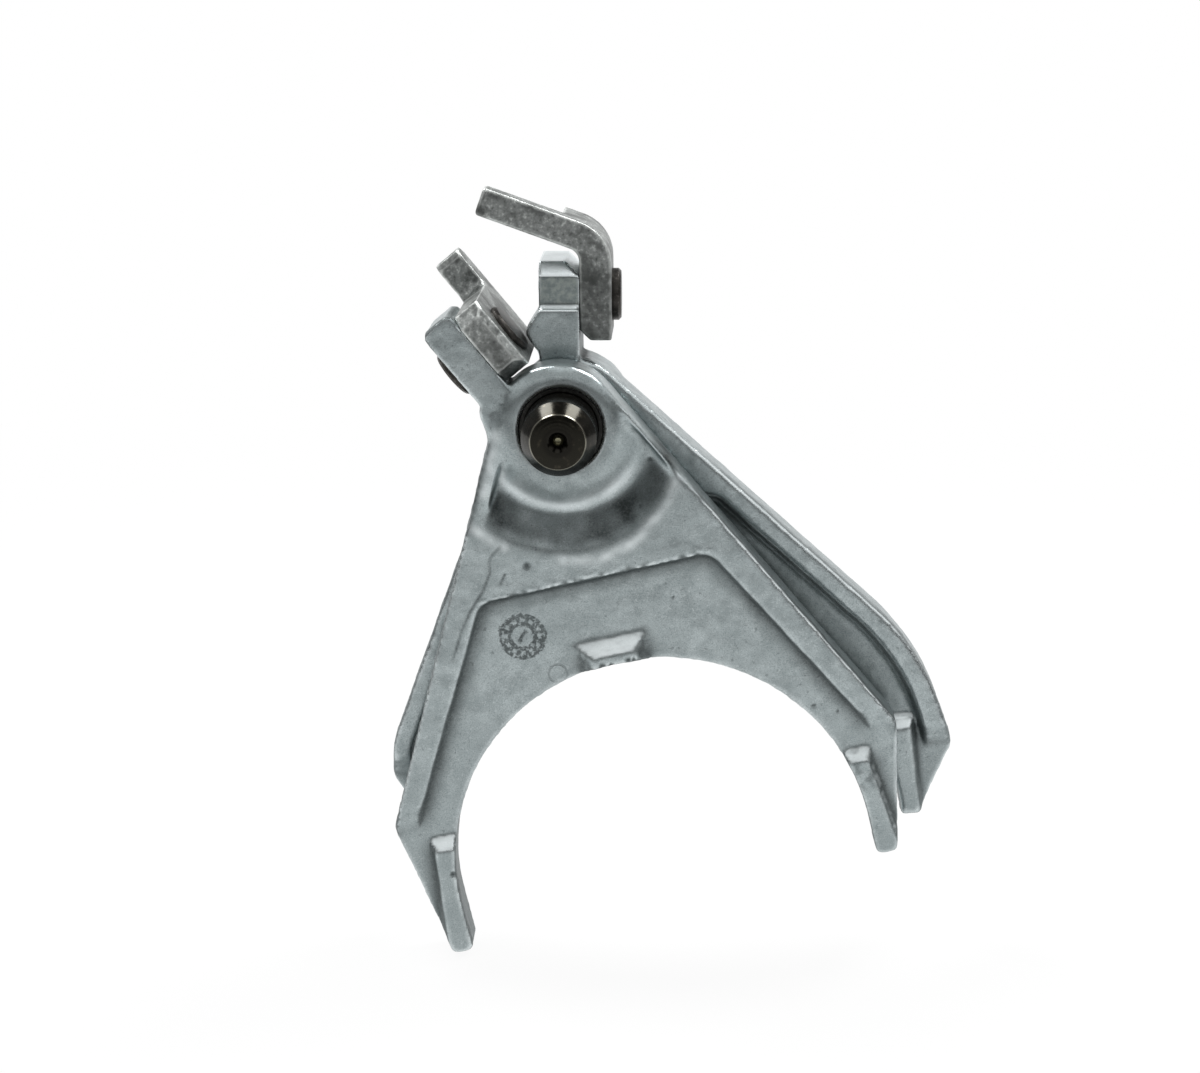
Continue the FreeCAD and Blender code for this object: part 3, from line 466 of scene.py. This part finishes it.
def remeshed(node, name, cell):
    """A copy of a node with evenly spaced points."""
    piece = cad_copy(node, name)
    skin = piece.modifiers.new("Skin", "REMESH")
    skin.mode = "VOXEL"
    skin.voxel_size = cell
    apply_modifiers(piece)
    return piece


class Skin:
    """The points of a remeshed piece, in millimetres, with their neighbours."""

    def __init__(self, mesh):
        self.mesh = mesh
        flat = np.empty(len(mesh.vertices) * 3)
        mesh.vertices.foreach_get("co", flat)
        self.at = flat.reshape(-1, 3) / MM
        pairs = np.empty(len(mesh.edges) * 2, dtype=np.int32)
        mesh.edges.foreach_get("vertices", pairs)
        ends = pairs.reshape(-1, 2)
        self.start = np.concatenate([ends[:, 0], ends[:, 1]])
        self.end = np.concatenate([ends[:, 1], ends[:, 0]])
        self.count = np.maximum(np.bincount(self.start, minlength=len(self.at)), 1)

    def mean(self, values):
        """Each point's mean over its neighbours."""
        columns = [
            np.bincount(self.start, weights=column[self.end], minlength=len(self.at))
            for column in values.T
        ]
        return np.stack(columns, axis=1) / self.count[:, None]

    def softened(self, passes):
        """The points after some passes, each half-way to their neighbours' mean."""
        at = self.at
        for _ in range(passes):
            at = at + (self.mean(at) - at) * 0.5
        return at

    def normals(self):
        """Puts the points into the mesh and gives its normals there."""
        self.mesh.vertices.foreach_set("co", (self.at * MM).ravel())
        self.mesh.update()
        flat = np.empty(len(self.at) * 3)
        self.mesh.vertices.foreach_get("normal", flat)
        return flat.reshape(-1, 3)

    def push(self, height):
        """Moves each point along its normal by a height in millimetres."""
        self.at = self.at + self.normals() * height[:, None]

    def bulge(self, passes):
        """How far each point stands out of its softened surroundings: edges +, corners -."""
        return np.einsum("ij,ij->i", self.at - self.softened(passes), self.normals())

    def clouds(self, size, seed):
        """Smooth noise, about -1 to 1, with waves of a size in millimetres."""
        shift = Vector((17.3 * seed, 5.1 * seed, 9.7 * seed))
        values = (noise.noise(Vector(point) / size + shift) for point in self.at)
        return np.fromiter(values, float, len(self.at))

    def spread(self, values, passes):
        """Values blurred over the skin."""
        for _ in range(passes):
            values = self.mean(values[:, None])[:, 0]
        return values

    def paint(self, name, values):
        """Stores a value from 0 to 1 on each point for the material."""
        layer = self.mesh.attributes.new(name, "FLOAT", "POINT")
        layer.data.foreach_set("value", np.clip(values, 0.0, 1.0).astype(np.float32))

    def finish(self):
        """Puts the points into the mesh and shades it smooth."""
        self.normals()
        self.mesh.shade_smooth()


def ramp(values, low, high):
    """0 at low, 1 at high, smooth between them."""
    part = np.clip((values - low) / (high - low), 0.0, 1.0)
    return part * part * (3.0 - 2.0 * part)


def between(values, low, full_from, full_to, high):
    """0 at low and high, 1 from full_from to full_to, smooth between them."""
    return ramp(values, low, full_from) * ramp(values, high, full_to)


def highest(*layers):
    """The largest of several values on each point."""
    return np.maximum.reduce(layers)


def near_line(at, corners):
    """Distance of each point, seen along the rod, to a line through corners (x, z)."""
    flat = at[:, [0, 2]]
    best = np.full(len(at), 1e9)
    for first, second in zip(corners, corners[1:]):
        first = np.array(first)
        run = np.array(second) - first
        along = np.clip(((flat - first) @ run) / (run @ run), 0.0, 1.0)
        best = np.minimum(best, np.linalg.norm(flat - first - along[:, None] * run, axis=1))
    return best


def line_share(skin, corners, width):
    """1 on a line through corners (x, z), fading over a width in millimetres."""
    return np.exp(-((near_line(skin.at, corners) / width) ** 2))


# Castings
def cast_skin(skin, finish, milled, crisp):
    """Softens, waves and grains a casting; bore, milled and crisp places keep most of their shape."""
    from_rod = np.hypot(skin.at[:, 0], skin.at[:, 2])
    keep = 1.0 - ramp(from_rod, BORE_GUARD, BORE_GUARD + 0.8)
    soft = skin.softened(finish.softening)
    held = np.maximum(np.maximum(keep, milled) * 0.85, crisp * 0.65)
    skin.at = skin.at + (soft - skin.at) * (1.0 - held)[:, None]
    wave = skin.clouds(7.0, seed=1) * finish.wave + skin.clouds(2.4, seed=2) * finish.wave * 0.4
    grain = skin.clouds(0.9, seed=3) * finish.grain
    skin.push((wave + grain) / MM * (1.0 - keep) * (1.0 - 0.7 * milled))


def flash_line(skin, finish, level, seed):
    """Raises a broken ridge round the side walls where the die halves met."""
    sideways = 1.0 - np.abs(skin.normals()[:, 1])
    line = np.exp(-(((skin.at[:, 1] - level) / DIE_JOINT_WIDTH) ** 2)) * ramp(sideways, 0.6, 0.9)
    broken = ramp(skin.clouds(1.3, seed), -0.1, 0.35)
    skin.push(line * broken * finish.flash / MM)


def recess_wall_shade(skin, level, painted_highlight):
    """Painted shade along the walls between an arm face and its recess floor, fading beside them."""
    y = skin.at[:, 1]
    floor = level + RECESS_DEPTH
    inside = between(y, level + 0.1, level + 0.4, floor - 0.2, floor + 0.2)
    tilted = ramp(np.abs(skin.normals()[:, 1]), 0.975, 0.90)
    walls = inside * tilted * (1.0 - painted_highlight)
    beside = ramp(y, floor - 0.9, floor - 0.3)
    return np.maximum(walls, 1.9 * skin.spread(walls, 26) * beside)


def paint_skin(skin, milled, dirt_and_shade, painted_highlight):
    """Stores rubbed edges, painted shade in corners, on side walls and in wide hollows together with the
    darkening passed in, milled places and painted highlights for the material.
    """
    bulge = skin.bulge(10)
    wide = skin.bulge(60)
    normals = skin.normals()
    patches = 0.5 + 0.5 * skin.clouds(5.0, seed=7)
    worn = ramp(bulge, 0.045, 0.18) * (0.15 + 0.75 * patches) * (1.0 - dirt_and_shade)
    # Painted shade on side walls, in wide hollows turned up and in corners
    walls = ramp(np.abs(normals[:, 1]), 0.5, 0.15) * ramp(normals[:, 2], 0.6, 0.2) * 0.62
    hollow_shade = ramp(-wide, -0.05, 0.30) * ramp(normals[:, 2], 0.05, 0.30) * 0.85
    corners = ramp(-bulge, 0.03, 0.15) * (0.45 + 0.5 * patches)
    all_dirt_and_shade = highest(corners, hollow_shade, walls, dirt_and_shade)
    skin.paint("worn", worn)
    skin.paint("grime_and_shade", all_dirt_and_shade * (1.0 - 0.7 * worn))
    skin.paint("milled", milled)
    skin.paint("painted_highlight", painted_highlight * (0.7 + 0.5 * patches) * (1.0 - dirt_and_shade))


def front_flaws(skin, finish, on_front):
    """Shapes the rough recess edge, the flow lines and the pores, and returns how dark they make the
    skin, with painted shadow along the rough edge.
    """
    edge = line_share(skin, RECESS_EDGE, 0.7) * on_front
    lumps = skin.clouds(1.1, seed=12)
    skin.push(edge * ramp(lumps, -0.2, 0.5) * finish.burr / MM)
    crack = highest(line_share(skin, FLOW_LINE, 0.28), line_share(skin, SHORT_FLOW_LINE, 0.25))
    crack = crack * on_front * (0.6 + 0.4 * skin.clouds(2.0, seed=13))
    pores = np.zeros(len(skin.at))
    for across, up, radius in PORES:
        away = np.hypot(skin.at[:, 0] - across, skin.at[:, 2] - up)
        pores = np.maximum(pores, np.exp(-((away / radius) ** 4)) * on_front)
    skin.push(-0.10 * crack - 0.22 * pores)
    # Dark flow lines and pores, and painted shadow along the rough recess edge
    return highest(0.95 * crack, 0.9 * pores, edge * ramp(-lumps, 0.0, 0.5) * 0.7)


def scuffed(skin, x, z, on_front):
    """A dull rubbed spot on the front fork's arm; x and z are places before the skin was moved."""
    from_spot = np.hypot(x - SCUFF[0], z - SCUFF[1])
    spot = ramp(from_spot, SCUFF[2], SCUFF[2] * 0.6)
    return spot * ramp(skin.clouds(1.4, seed=14), 0.0, 0.45) * on_front * 0.4


def hollow_shade_and_ring(skin, from_rod, upward, on_front):
    """Painted shade in the valley of the hollow round the front hub, and a darker ring on the hub's
    face.
    """
    x, y, z = skin.at.T
    flanks = 0.70 + 0.30 * ramp(np.abs(x + 2.0), 3.0, 11.0)
    valley = between(from_rod, 15.0, 18.5, 21.5, 25.5) * ramp(upward, 0.02, 0.28)
    valley = valley * ramp(z, 2.0, -4.0) * ramp(y, 17.0, 15.0) * flanks
    valley = valley * (0.90 + 0.35 * skin.clouds(3.0, seed=15)) * 0.92
    hub_ring = between(from_rod, 8.4, 9.0, 9.8, 11.6) * on_front
    return np.maximum(valley, hub_ring * (0.8 + 0.4 * skin.clouds(1.8, seed=20)) * 0.34)


def lit_lips(skin, from_rod, on_front):
    """Painted highlights on the lips of the hollow round the front hub."""
    lit = between(from_rod, 12.6, 14.6, 15.4, 17.0) * ramp(skin.at[:, 2], -6.0, -11.0) * on_front
    lit = lit * (0.8 + 0.5 * skin.clouds(2.6, seed=16)) * 0.55
    for number, lip in enumerate(LIT_LIPS):
        beam = line_share(skin, lip, 0.95) * on_front
        lit = np.maximum(lit, beam * (0.55 + 0.6 * skin.clouds(2.2, seed=17 + number)))
    return lit


class FORKS_OT_front_casting(bpy.types.Operator):
    """Front fork with its cast skin, flow lines, pores and rough recess edge"""
    bl_idname = "forks.front_casting"
    bl_label = "Front fork casting"

    def execute(self, context):
        finish = context.scene.casting_finish
        piece = remeshed("front_fork", "front_fork_casting", finish.cell)
        skin = Skin(piece.data)
        milled = np.zeros(len(skin.at))
        # Places before the skin is moved
        x, y, z = skin.at.T
        from_rod = np.hypot(x, z)
        up_the_lug = 0.773 * z - 0.635 * x
        cast_skin(skin, finish, milled, ramp(up_the_lug, 13.0, 15.0))
        rounded = between(from_rod, 9.0, 13.0, 24.0, 28.0) * ramp(y, 16.0, 14.0)
        rounded = rounded * ramp(z, 4.0, -2.0)
        skin.at = skin.at + (skin.softened(24) - skin.at) * rounded[:, None]
        forward = -skin.normals()[:, 1]
        upward = skin.normals()[:, 2]
        on_front = ramp(forward, 0.3, 0.8)
        # Painted highlight on slopes that face up, away from the hub
        sloping = ramp(upward, 0.22, 0.34) * ramp(forward, 0.2, 0.5)
        painted_highlight = sloping * ramp(from_rod, 30.0, 33.0)
        flash_line(skin, finish, FRONT_DIE_JOINT, seed=11)
        flaws = front_flaws(skin, finish, on_front)
        walls = recess_wall_shade(skin, FRONT_ARM_FACE, painted_highlight) * ramp(from_rod, 26.0, 29.0)
        scuff = scuffed(skin, x, z, on_front)
        # Real flaws and scuff, with painted shade along the recess walls and in the hollow
        dirt_and_shade = highest(flaws, walls * 0.75, scuff, hollow_shade_and_ring(skin, from_rod, upward, on_front))
        lit = lit_lips(skin, from_rod, on_front)
        paint_skin(skin, milled, dirt_and_shade * (1.0 - lit), np.maximum(painted_highlight, lit))
        skin.finish()
        material = cast_aluminium("front casting", finish, marked=True, darker_below=0.34)
        seat(piece, "front_fork", FRONT, material)
        return {"FINISHED"}


class FORKS_OT_rear_casting(bpy.types.Operator):
    """Rear fork with its cast skin and the milled seat of its lug"""
    bl_idname = "forks.rear_casting"
    bl_label = "Rear fork casting"

    def execute(self, context):
        finish = context.scene.casting_finish
        piece = remeshed("rear_fork", "rear_fork_casting", finish.cell)
        skin = Skin(piece.data)
        x, y, z = skin.at.T
        milled = ramp(z, 20.7, 21.0) * ramp(np.abs(x), 6.0, 5.0)
        cast_skin(skin, finish, milled, ramp(z, 12.0, 14.0))
        flash_line(skin, finish, REAR_DIE_JOINT, seed=21)
        # The points have moved, so their places are read again
        x, y, z = skin.at.T
        forward = -skin.normals()[:, 1]
        front = ramp(forward, 0.7, 0.95)
        # Painted highlight on slopes that face up, on the lug and on the front
        sloping = np.maximum(ramp(z, 24.0, 26.0), ramp(forward, 0.2, 0.5))
        sloping = ramp(skin.normals()[:, 2], 0.25, 0.40) * sloping
        painted_highlight = sloping * ramp(np.hypot(x, z), 18.0, 20.0)
        walls = recess_wall_shade(skin, REAR_ARM_FACE, painted_highlight)
        # Painted shade along the recess walls and on the recess floor of the arms
        floor = ramp(y, REAR_ARM_FACE + 1.2, REAR_ARM_FACE + 1.9) * front
        dirt_and_shade = np.maximum(walls * 0.65, floor * 0.22) * ramp(z, -6.0, -12.0)
        paint_skin(skin, milled * front * (1.0 - painted_highlight), dirt_and_shade, painted_highlight)
        skin.finish()
        material = cast_aluminium("rear casting", finish, marked=False, darker_below=0.50)
        seat(piece, "rear_fork", REAR, material)
        return {"FINISHED"}


# Fingers, rivets, bushes and rod
class FORKS_OT_fingers(bpy.types.Operator):
    """The two steel selector fingers with their mottled skin"""
    bl_idname = "forks.fingers"
    bl_label = "Selector fingers"

    def execute(self, context):
        finish = context.scene.steel_finish
        material = finger_steel(finish)
        # Node, body, seed, the finger's tip (x, y, z) and the top of its dark foot (z)
        groups = (
            ("front_finger", FRONT, 31, (-12.5, 9.1, 26.0), 12.5),
            ("rear_finger", REAR, 41, (-16.9, 21.5, 38.6), 30.0),
        )
        for node, body, seed, tip, foot in groups:
            piece = remeshed(node, node + "_skin", finish.cell)
            skin = Skin(piece.data)
            skin.at = skin.softened(finish.softening)
            skin.push(skin.clouds(1.0, seed) * finish.grain / MM)
            bulge = skin.bulge(8)
            at_tip = ramp(np.linalg.norm(skin.at - tip, axis=1), 3.4, 2.2)
            ends = np.maximum(at_tip, ramp(skin.at[:, 2], foot, foot - 3.0))
            ends = ends * (0.85 + 0.5 * skin.clouds(1.5, seed + 2))
            skin.paint("worn", ramp(bulge, 0.015, 0.06) * (0.75 + 0.45 * skin.clouds(2.0, seed + 1)))
            # Painted shade in the finger's corners, and darker at the tip and the foot
            skin.paint("grime_and_shade", np.maximum(ramp(-bulge, 0.03, 0.10) * 0.7, ends * 0.70))
            skin.finish()
            seat(piece, node, body, material)
        return {"FINISHED"}


def edged_copy(node, name, width):
    """A copy of a node with small round edges."""
    piece = cad_copy(node, name)
    weld = piece.modifiers.new("Weld", "WELD")
    weld.merge_threshold = 0.001 * MM
    edge = piece.modifiers.new("Edges", "BEVEL")
    edge.width = width
    edge.segments = 3
    edge.limit_method = "ANGLE"
    edge.angle_limit = math.radians(30)
    apply_modifiers(piece)
    piece.data.shade_smooth()
    piece.data.set_sharp_from_angle(angle=math.radians(28))
    return piece


class FORKS_OT_rivets(bpy.types.Operator):
    """The rivets of both fingers"""
    bl_idname = "forks.rivets"
    bl_label = "Rivets"

    def execute(self, context):
        finish = context.scene.steel_finish
        material = dark_steel("rivet steel", rgb(finish.rivet), 0.38)
        for node, body in (("front_finger_rivet", FRONT), ("rear_finger_rivet", REAR)):
            piece = edged_copy(node, node + "_steel", 0.2 * MM)
            seat(piece, node, body, material)
        return {"FINISHED"}


class FORKS_OT_bushes(bpy.types.Operator):
    """The thin linings of both hubs"""
    bl_idname = "forks.bushes"
    bl_label = "Bushes"

    def execute(self, context):
        finish = context.scene.steel_finish
        material = dark_steel("bush steel", rgb(finish.bush), 0.45)
        for node, body in (("front_fork_bush", FRONT), ("rear_fork_bush", REAR)):
            piece = edged_copy(node, node + "_lining", 0.1 * MM)
            seat(piece, node, body, material)
        return {"FINISHED"}


def lathe(name, profile, steps):
    """A solid turned about Y from a profile of (radius, y) in metres, axis to axis."""
    points = []
    faces = []
    rings = []
    for radius, y in profile:
        if radius == 0.0:
            rings.append([len(points)])
            points.append((0.0, y, 0.0))
            continue
        rings.append(list(range(len(points), len(points) + steps)))
        for index in range(steps):
            angle = 2 * math.pi * index / steps
            points.append((radius * math.cos(angle), y, radius * math.sin(angle)))
    for lower, upper in zip(rings, rings[1:]):
        for index in range(steps):
            following = (index + 1) % steps
            if len(lower) == 1:
                faces.append((lower[0], upper[index], upper[following]))
            elif len(upper) == 1:
                faces.append((lower[index], upper[0], lower[following]))
            else:
                faces.append((lower[index], upper[index], upper[following], lower[following]))
    mesh = bpy.data.meshes.new(name)
    mesh.from_pydata(points, [], faces)
    mesh.update()
    piece = bpy.data.objects.new(name, mesh)
    bpy.context.scene.collection.objects.link(piece)
    return piece


class FORKS_OT_rod(bpy.types.Operator):
    """The ground rod with its lead cones, rounded edges and drilled centres"""
    bl_idname = "forks.rod"
    bl_label = "Selector rod"

    def execute(self, context):
        low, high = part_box("selector_rod")
        radius = high[0]
        near, far = low[1], high[1]
        lead = 3.4 * MM
        end = radius - 1.8 * MM
        drill = 1.8 * MM
        # One end from its drilled centre outwards: radius, and depth behind the end face
        half = [(0.0, 2.6 * MM), (0.55 * MM, 2.5 * MM), (0.6 * MM, 1.5 * MM), (drill, 0.12 * MM),
                (drill + 0.15 * MM, 0.0), (end - 0.25 * MM, 0.0), (end - 0.08 * MM, 0.04 * MM),
                (end, 0.16 * MM), (radius - 0.12 * MM, lead - 0.25 * MM), (radius, lead)]
        profile = [(across, near + along) for across, along in half]
        profile += [(across, far - along) for across, along in reversed(half)]
        piece = lathe("selector_rod_ground", profile, 128)
        piece.data.shade_smooth()
        piece.data.set_sharp_from_angle(angle=math.radians(24))
        finish = context.scene.steel_finish
        seat(piece, "selector_rod", ROD, rod_steel(finish))
        return {"FINISHED"}


# Studio
def plain(name, base, build):
    """A stage material: base colour in the light, and build's brightness to the camera."""
    material = bpy.data.materials.new(name)
    material.use_nodes = True
    paint = Paint(material.node_tree)
    lit = paint.node("ShaderNodeBsdfDiffuse", inputs={"Color": base})
    glow = paint.node("ShaderNodeEmission", inputs={"Color": (1.0, 1.0, 1.0), "Strength": 1.0})
    mixed = paint.node("ShaderNodeMixShader", inputs={0: build(paint), 1: lit, 2: glow})
    paint.node("ShaderNodeOutputMaterial", inputs={"Surface": mixed})
    return material


def seen_directly(paint):
    """How white the floor looks to the camera and in reflections, by distance from the forks."""
    camera = paint.node("ShaderNodeLightPath", output="Is Camera Ray")
    glossy = paint.node("ShaderNodeLightPath", output="Is Glossy Ray")
    x, y, z = paint.axes(paint.place())
    near = y.step(-700.0, -120.0)
    far = ((x * x + y * y) ** 0.5).step(150.0, 600.0)
    direct = camera * (0.93 + far * 0.07)
    return direct.largest(glossy * (0.30 + near * 0.58))


def studio_world():
    """White to the camera. Reflections see it bright behind, overhead and in a band in front."""
    world = bpy.data.worlds.new("studio")
    bpy.context.scene.world = world
    world.use_nodes = True
    paint = Paint(world.node_tree)
    direction = paint.node("ShaderNodeTexCoord", output="Generated")
    x, y, z = paint.axes(direction)
    behind = y.step(-0.35, 0.55)
    above = z.step(0.20, 0.60)
    overhead = (z * 0.97 - y * 0.24).step(0.93, 0.98)
    band = z.near(0.55, 0.30) * (1.0 - behind)
    beside = (x * x).step(0.25, 0.70) * (1.0 - above)
    strength = (0.12 + behind * 0.88) * (1.0 - above * 0.85) * (1.0 - beside * 0.75)
    strength = strength + band * 0.95 + overhead * 1.2
    camera = paint.node("ShaderNodeLightPath", output="Is Camera Ray")
    strength = strength + camera * (1.0 - strength)
    inputs = {"Color": (1.0, 1.0, 1.0), "Strength": strength}
    back = paint.node("ShaderNodeBackground", inputs=inputs)
    paint.node("ShaderNodeOutputWorld", inputs={"Surface": back})


def soft_lamp(name, place, power):
    """A round lamp that looks at the forks."""
    light = bpy.data.lights.new(name, "AREA")
    light.shape = "DISK"
    light.size = LAMP_SIZE
    light.energy = power
    lamp = bpy.data.objects.new(name, light)
    bpy.context.scene.collection.objects.link(lamp)
    aim = Vector(LAMP_TARGET) - Vector(place)
    lamp.matrix_world = Matrix.Translation(place) @ aim.to_track_quat("-Z", "Y").to_matrix().to_4x4()


class FORKS_OT_studio(bpy.types.Operator):
    """Pale floor, soft lamps, surroundings and the camera"""
    bl_idname = "forks.studio"
    bl_label = "Studio"

    def execute(self, context):
        finish = context.scene.studio_finish
        level = CAD_BOX[0][2] - finish.floor_drop
        corners = ((-1, -1), (1, -1), (1, 1), (-1, 1))
        mesh = bpy.data.meshes.new("floor")
        points = [(x * FLOOR_HALF, y * FLOOR_HALF, level) for x, y in corners]
        mesh.from_pydata(points, [], [(0, 1, 2, 3)])
        floor = bpy.data.objects.new("floor", mesh)
        mesh.materials.append(plain("floor", rgb(finish.floor), seen_directly))
        context.scene.collection.objects.link(floor)
        studio_world()
        for name, place in LAMPS:
            soft_lamp(name, place, finish.lamp_power)
        lens = bpy.data.cameras.new("camera")
        lens.lens = finish.lens
        lens.sensor_width = SENSOR_WIDTH
        camera = bpy.data.objects.new("camera", lens)
        context.scene.collection.objects.link(camera)
        turn = Matrix((CAMERA_RIGHT, CAMERA_UP, CAMERA_BACK)).transposed().to_4x4()
        camera.matrix_world = Matrix.Translation(CAMERA_PLACE) @ turn
        context.scene.camera = camera
        context.scene.view_settings.view_transform = "Standard"
        return {"FINISHED"}


# The add-on's panel
PIECES = (
    FORKS_OT_front_casting,
    FORKS_OT_rear_casting,
    FORKS_OT_fingers,
    FORKS_OT_rivets,
    FORKS_OT_bushes,
    FORKS_OT_rod,
    FORKS_OT_studio,
)
FINISHES = (
    ("casting_finish", CastingFinish),
    ("steel_finish", SteelFinish),
    ("studio_finish", StudioFinish),
)


class FORKS_PT_pieces(bpy.types.Panel):
    """Buttons for each group of pieces, and their sizes and colours"""
    bl_idname = "FORKS_PT_pieces"
    bl_label = "Selector forks"
    bl_space_type = "VIEW_3D"
    bl_region_type = "UI"
    bl_category = "Forks"

    def draw(self, context):
        column = self.layout.column()
        for piece in PIECES:
            column.operator(piece.bl_idname)
        for name, group in FINISHES:
            box = self.layout.box()
            for field in group.__annotations__:
                box.prop(getattr(context.scene, name), field)


def register():
    for name, group in FINISHES:
        bpy.utils.register_class(group)
        setattr(bpy.types.Scene, name, bpy.props.PointerProperty(type=group))
    for item in PIECES + (FORKS_PT_pieces,):
        bpy.utils.register_class(item)


def unregister():
    for item in reversed(PIECES + (FORKS_PT_pieces,)):
        bpy.utils.unregister_class(item)
    for name, group in reversed(FINISHES):
        delattr(bpy.types.Scene, name)
        bpy.utils.unregister_class(group)


def main():
    register()
    bpy.ops.forks.front_casting()
    bpy.ops.forks.rear_casting()
    bpy.ops.forks.fingers()
    bpy.ops.forks.rivets()
    bpy.ops.forks.bushes()
    bpy.ops.forks.rod()
    bpy.ops.forks.studio()


if __name__ == "__main__":
    main()
